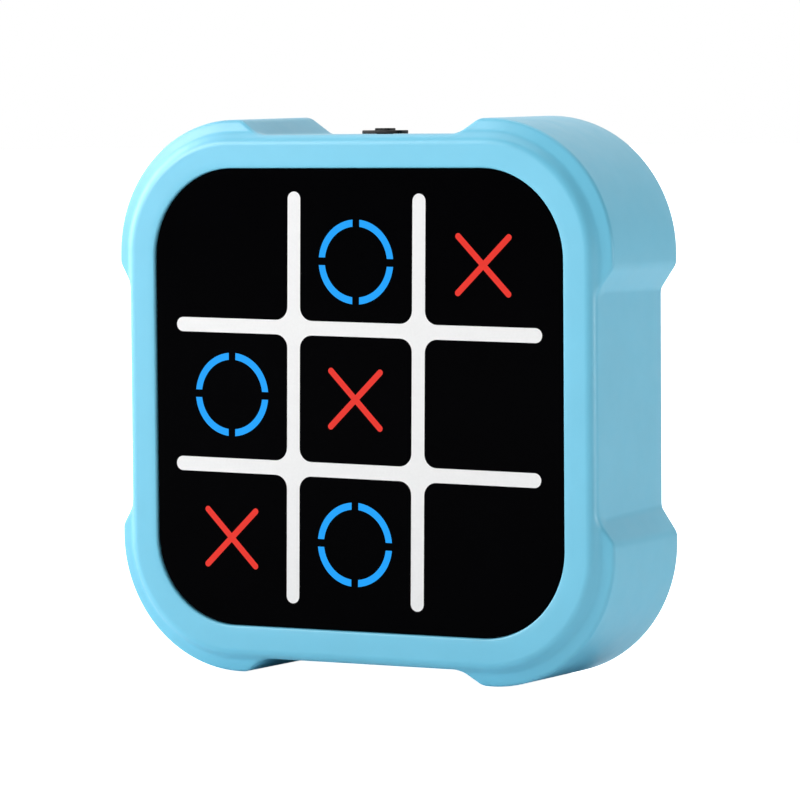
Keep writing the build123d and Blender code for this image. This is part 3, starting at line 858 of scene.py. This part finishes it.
class GAME_OT_slider(bpy.types.Operator):
    """Builds the ribbed slider on the top of the case"""
    bl_idname = "game.slider"
    bl_label = "Slider"

    def execute(self, context):
        sizes = context.scene.game_slider
        low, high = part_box("mode_slider")
        x, y = (low.x + high.x) / 2, (low.y + high.y) / 2
        top, edge, sharp = high.z, sizes.edge, 0.1 * MM
        plate_top = top - sizes.grip_rise
        plate_low = plate_top - sizes.plate_rise
        foot_top = plate_low - sizes.neck_rise
        foot = ((high.x - low.x) / 2, sizes.foot_depth, sharp)
        neck = (sizes.neck, sizes.neck, sharp)
        rings = [(*foot, low.z), (*foot, foot_top), (*neck, foot_top), (*neck, plate_low)]
        width, deep, corner = sizes.plate_width / 2, sizes.plate_depth / 2, sizes.plate_corner
        rings.append((width - edge / 2, deep - edge / 2, corner - edge / 2, plate_low))
        rings += self.rounded(width, deep, corner, plate_low + edge / 2, plate_top, edge)
        width, deep, corner = sizes.grip_width / 2, sizes.grip_depth / 2, sizes.grip_corner
        rings += self.rounded(width, deep, corner, plate_top, top, edge * 0.8)
        points, faces = stack(rings, x, y)
        code = context.scene.game_colours.slider
        skin = moulded_abs("satin moulded black ABS", code, 0.30, 0.3, shine=0.2)
        replaced = ("mode_slider",)
        piece = new_piece("ribbed_slider", points, faces, [skin], "slider", replaced)
        half, groove_low, clear = sizes.groove / 2, top - sizes.groove_depth, 1 * MM
        for k in (-1, 0, 1):
            at = x + k * sizes.pitch
            cut_box(
                piece, (at - half, y - sizes.plate_depth, groove_low),
                (at + half, y + sizes.plate_depth, top + clear),
            )
        # Pocket under the foot, which takes the lever of the switch.
        across, deep, high_end = 0.85 * MM, 0.75 * MM, low.z + 0.9 * MM
        cut_box(piece, (x - across, y - deep, low.z - clear), (x + across, y + deep, high_end))
        tidy_mesh(piece.data, SOFT_CREASE)
        return {"FINISHED"}

    @staticmethod
    def rounded(width, deep, corner, low, high, edge):
        """Rings of an upright wall with a rounded upper edge."""
        rings = [(width, deep, corner, low)]
        for k in range(5):
            turn = k / 4 * math.pi / 2
            inset, drop = edge * (1 - math.cos(turn)), edge * (1 - math.sin(turn))
            rings.append((width - inset, deep - inset, corner - inset, high - drop))
        return rings


class GAME_OT_cells(bpy.types.Operator):
    """Builds the three dry cells with their sleeves and metal ends"""
    bl_idname = "game.cells"
    bl_label = "Dry cells"

    def execute(self, context):
        sizes, colours = context.scene.game_cell, context.scene.game_colours
        materials = [
            plated_steel("nickel-plated steel of a cell", "#C9C8C4", 0.28),
            printed_sleeve("pale printed sleeve", colours.sleeve),
            printed_sleeve("green printed sleeve", colours.band),
        ]
        for row in (1, 2, 3):
            node = f"battery_{row}"
            low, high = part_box(node)
            middle = ((low.y + high.y) / 2, (low.z + high.z) / 2)
            facing = 1 if high.x > -low.x else -1      # the nub's end lies further out
            start = low.x if facing > 0 else high.x
            profile, zones = self.profile(sizes, (high.z - low.z) / 2, high.x - low.x)
            points, quads, step_of = lathe(profile, (start, *middle), (facing, 0, 0), 72)
            index = [zones[k] for k in step_of]
            name, crease = f"dry_cell_{row}", 50.0
            new_piece(name, points, quads, materials, "case", (node,), index, crease)
        return {"FINISHED"}

    @staticmethod
    def profile(sizes, radius, total):
        """Profile from the flat end to the nub, with the material of each step."""
        body = total - sizes.nub_length
        crimp, bend = sizes.crimp, sizes.crimp * 0.3
        band = body * (1 - sizes.band_share)
        nub, dip, round_off, hole = sizes.nub_radius, 0.3 * MM, 0.25 * MM, 0.2 * MM
        flat_end = [
            (round_off, hole, METAL), (round_off, radius * 0.62, METAL), (0.0, radius * 0.7, METAL),
        ]
        skin = [
            (0.0, radius - crimp, SLEEVE), (bend, radius - bend, SLEEVE), (crimp, radius, SLEEVE),
            (band, radius, BAND), (body - crimp, radius, BAND), (body - bend, radius - bend, BAND),
            (body, radius - crimp, BAND),
        ]
        nub_end = [
            (body, radius * 0.78, METAL), (body - dip, radius * 0.7, METAL),
            (body - dip, nub + round_off, METAL), (body, nub, METAL),
            (total - round_off, nub, METAL), (total - 0.07 * MM, nub - 0.08 * MM, METAL),
            (total, nub - round_off, METAL), (total, hole, METAL),
        ]
        steps = flat_end + skin + nub_end
        return [step[:2] for step in steps], [zone for _, _, zone in steps]


class GAME_OT_finishes(bpy.types.Operator):
    """Gives the board, the guides, the screws and every other inner part its real finish"""
    bl_idname = "game.finishes"
    bl_label = "Inner parts and screws"

    def execute(self, context):
        colours = context.scene.game_colours
        zinc = plated_steel("zinc-plated steel screw", "#B9BCBE", 0.34)
        nickel = plated_steel("nickel-plated spring steel", "#CFCBC0", 0.26)
        tin = plated_steel("tinned steel and copper", "#C4C6C8", 0.30)
        for node in ("case_screws", "board_screws", "door_screw"):
            dress(node, zinc)
        for node in ("battery_springs", "contact_plates"):
            dress(node, nickel)
        dress("switch_body", tin)
        dress("switch_lever", moulded_abs("moulded black acetal", "#1C1B1B", 0.4))
        dress("light_frame", moulded_abs("moulded white ABS", "#E9E9E4", 0.42))
        dress("main_board", solder_mask(colours.board))
        guides = clear_plastic("clear moulded acrylic", "#F4F8F8", 1.49, 0.06)
        for node in ("x_light_guides", "o_light_guides"):
            dress(node, guides)
        dress("touch_film", clear_plastic("clear polyester film", "#EEF2F0", 1.57, 0.12))
        dress("panel_tape", soft_plastic("closed-cell foam tape", "#2B2B2D", 0.85, 0.25, 0.05, 0.2))
        dress("film_connector", soft_plastic("moulded cream nylon", "#E4DCC4", 0.5, 0.3, 0.01))
        self.lamps("red_leds", colours.cross)
        self.lamps("blue_leds", colours.ring)
        self.chip(tin)
        self.speaker(zinc)
        red = soft_plastic("red PVC wire skin", "#B3231C", 0.42, 0.5, 0.01)
        black = soft_plastic("black PVC wire skin", "#1B1B1D", 0.42, 0.5, 0.01)
        for node in ("speaker_wires", "battery_wires"):
            dress(node, red, black, rule=lambda middle: int(middle.x < 0))
        return {"FINISHED"}

    @staticmethod
    def lamps(node, code):
        """White ceramic base behind, tinted lens in front."""
        low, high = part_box(node)
        split = (low.y + high.y) / 2
        ceramic = soft_plastic(f"white ceramic base {node}", "#E6E4DC", 0.5, 0.2, 0.004)
        lens = lamp_resin(f"tinted epoxy lens {node}", code, 2.0)
        dress(node, lens, ceramic, rule=lambda middle: int(middle.y > split))

    @staticmethod
    def chip(tin):
        """Black body between two rows of tinned legs."""
        low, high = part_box("controller_chip")
        middle_z, body_half = (low.z + high.z) / 2, 2.01 * MM
        body = soft_plastic("moulded black epoxy", "#1E1F20", 0.55, 0.25, 0.01)

        def on_leg(middle):
            return int(abs(middle.z - middle_z) > body_half)

        dress("controller_chip", body, tin, rule=on_leg)

    @staticmethod
    def speaker(zinc):
        """Paper cone inside a pressed steel basket, and its magnet."""
        low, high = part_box("speaker")
        x, z = (low.x + high.x) / 2, (low.z + high.z) / 2
        cone_edge, cone_depth = 7.9 * MM, high.y - 1.8 * MM

        def on_cone(middle):
            return int(math.hypot(middle.x - x, middle.z - z) < cone_edge and middle.y > cone_depth)

        cone = soft_plastic("black paper cone", "#202022", 0.8, 0.35, 0.03, 0.3)
        dress("speaker", zinc, cone, rule=on_cone)


class GAME_OT_stage(bpy.types.Operator):
    """Sets up the floor, the soft studio light and the camera"""
    bl_idname = "game.stage"
    bl_label = "Stage"

    def execute(self, context):
        scene, settings = context.scene, context.scene.game_stage
        self.floor(scene, settings)
        self.lights(scene, settings)
        self.room(scene, settings)
        self.camera(scene, settings)
        scene.view_settings.view_transform = "Standard"
        return {"FINISHED"}

    @staticmethod
    def floor(scene, settings):
        mesh = bpy.data.meshes.new("floor")
        work = bmesh.new()
        bmesh.ops.create_circle(work, cap_ends=True, segments=96, radius=12.0)     # metres
        work.to_mesh(mesh)
        work.free()
        piece = bpy.data.objects.new("floor", mesh)
        scene.collection.objects.link(piece)
        piece.location.z = SHELL_LOW.z - 0.02 * MM
        material, tree, place = new_material("matt white lacquered board")
        # The glow whitens the floor without lighting the underside of the case.
        seen = add(tree, "ShaderNodeLightPath").outputs["Is Camera Ray"]
        times = {"operation": "MULTIPLY", 1: settings.floor_glow}
        glow = add(tree, "ShaderNodeMath", times, {0: seen})
        finish_material(tree, material, {"IOR": 1.3}, {
            "Base Color": tinted(tree, place, "#F8F8F8", 60.0, 0.01),
            "Roughness": spread(tree, place, 30.0, 0.75, 0.85),
            "Emission Strength": glow.outputs[0],
        })
        mesh.materials.append(material)

    @staticmethod
    def lights(scene, settings):
        """Each place is in metres from the middle; the rim light shows only in reflections."""
        middle = Vector((0, 0, MIDDLE))
        sun = bpy.data.lights.new("overhead", "SUN")
        sun.energy = settings.sun
        sun.angle = math.radians(60)
        places = [(sun, (-0.1, 0.2, 1.0), True)]
        for name, power, across, high, place, lights_skin in (
            ("key", settings.key, 0.5, 0.5, (-0.66, -0.66, 0.36), True),
            ("fill", settings.fill, 0.4, 0.1, (0.95, 0.0, 0.03), True),
            ("rim", settings.rim, 0.9, 0.9, (-0.95, 0.05, 0.35), False),
        ):
            light = bpy.data.lights.new(name, "AREA")
            light.energy, light.shape = power, "RECTANGLE"
            light.size, light.size_y = across, high
            places.append((light, place, lights_skin))
        for light, place, lights_skin in places:
            lamp = bpy.data.objects.new(light.name, light)
            scene.collection.objects.link(lamp)
            lamp.location = middle + Vector(place)
            lamp.rotation_mode = "QUATERNION"
            lamp.rotation_quaternion = (-Vector(place)).to_track_quat("-Z", "Y")
            lamp.visible_diffuse = lights_skin

    @staticmethod
    def room(scene, settings):
        """Dim room in front of the game and bright behind it; the camera sees it white."""
        world = bpy.data.worlds.new("pale room")
        world.use_nodes = True
        tree = world.node_tree
        tree.nodes.clear()
        way = add(tree, "ShaderNodeTexCoord").outputs["Generated"]
        toward_back = {"operation": "DOT_PRODUCT", 1: (-0.75, 0.65, 0.1)}
        facing = add(tree, "ShaderNodeVectorMath", toward_back, {0: way}).outputs["Value"]
        total = add(tree, "ShaderNodeMapRange", {
            "From Min": -0.2, "From Max": 0.6,
            "To Min": settings.room, "To Max": settings.room_back,
        }, {"Value": facing}).outputs[0]
        colour_of_room = {"Color": linear("#FFFFFF")}
        graded = add(tree, "ShaderNodeBackground", colour_of_room, {"Strength": total}).outputs[0]
        white = add(tree, "ShaderNodeBackground", {**colour_of_room, "Strength": 1.0}).outputs[0]
        seen = add(tree, "ShaderNodeLightPath").outputs["Is Camera Ray"]
        mix = add(tree, "ShaderNodeMixShader", links={0: seen, 1: graded, 2: white})
        add(tree, "ShaderNodeOutputWorld", links={"Surface": mix.outputs[0]})
        scene.world = world

    @staticmethod
    def camera(scene, settings):
        data = bpy.data.cameras.new("camera")
        data.sensor_width = 36.0
        data.lens = settings.lens
        data.clip_start, data.clip_end = 0.05, 100.0
        turn = (Matrix.Rotation(settings.azimuth, 3, "Z")
                @ Matrix.Rotation(math.pi / 2 - settings.elevation, 3, "X")
                @ Matrix.Rotation(settings.roll, 3, "Z"))
        offset = turn @ Vector((settings.slide, settings.lift, settings.distance))
        camera = bpy.data.objects.new("camera", data)
        scene.collection.objects.link(camera)
        place = Vector(face_point(0, 0, 0)) + offset
        camera.matrix_world = Matrix.Translation(place) @ turn.to_4x4()
        scene.camera = camera


class GAME_PT_sidebar(bpy.types.Panel):
    """Lists the steps that build the game"""
    bl_idname = "GAME_PT_sidebar"
    bl_label = "Noughts and crosses"
    bl_space_type = "VIEW_3D"
    bl_region_type = "UI"
    bl_category = "Game"

    def draw(self, context):
        for step in STEPS:
            self.layout.operator(step.bl_idname)


GROUPS = {
    "game_case": CaseSizes,
    "game_panel": PanelSizes,
    "game_slider": SliderSizes,
    "game_cell": CellSizes,
    "game_colours": GameColours,
    "game_stage": StageSettings,
}
STEPS = (
    GAME_OT_case, GAME_OT_panel, GAME_OT_slider, GAME_OT_cells, GAME_OT_finishes, GAME_OT_stage,
)


def register():
    for kind in (*GROUPS.values(), *STEPS, GAME_PT_sidebar):
        bpy.utils.register_class(kind)
    for name, kind in GROUPS.items():
        setattr(bpy.types.Scene, name, bpy.props.PointerProperty(type=kind))


def unregister():
    for name in GROUPS:
        delattr(bpy.types.Scene, name)
    for kind in reversed((*GROUPS.values(), *STEPS, GAME_PT_sidebar)):
        bpy.utils.unregister_class(kind)


def main():
    register()
    bpy.ops.game.case()
    bpy.ops.game.panel()
    bpy.ops.game.slider()
    bpy.ops.game.cells()
    bpy.ops.game.finishes()
    bpy.ops.game.stage()


if __name__ == "__main__":
    main()
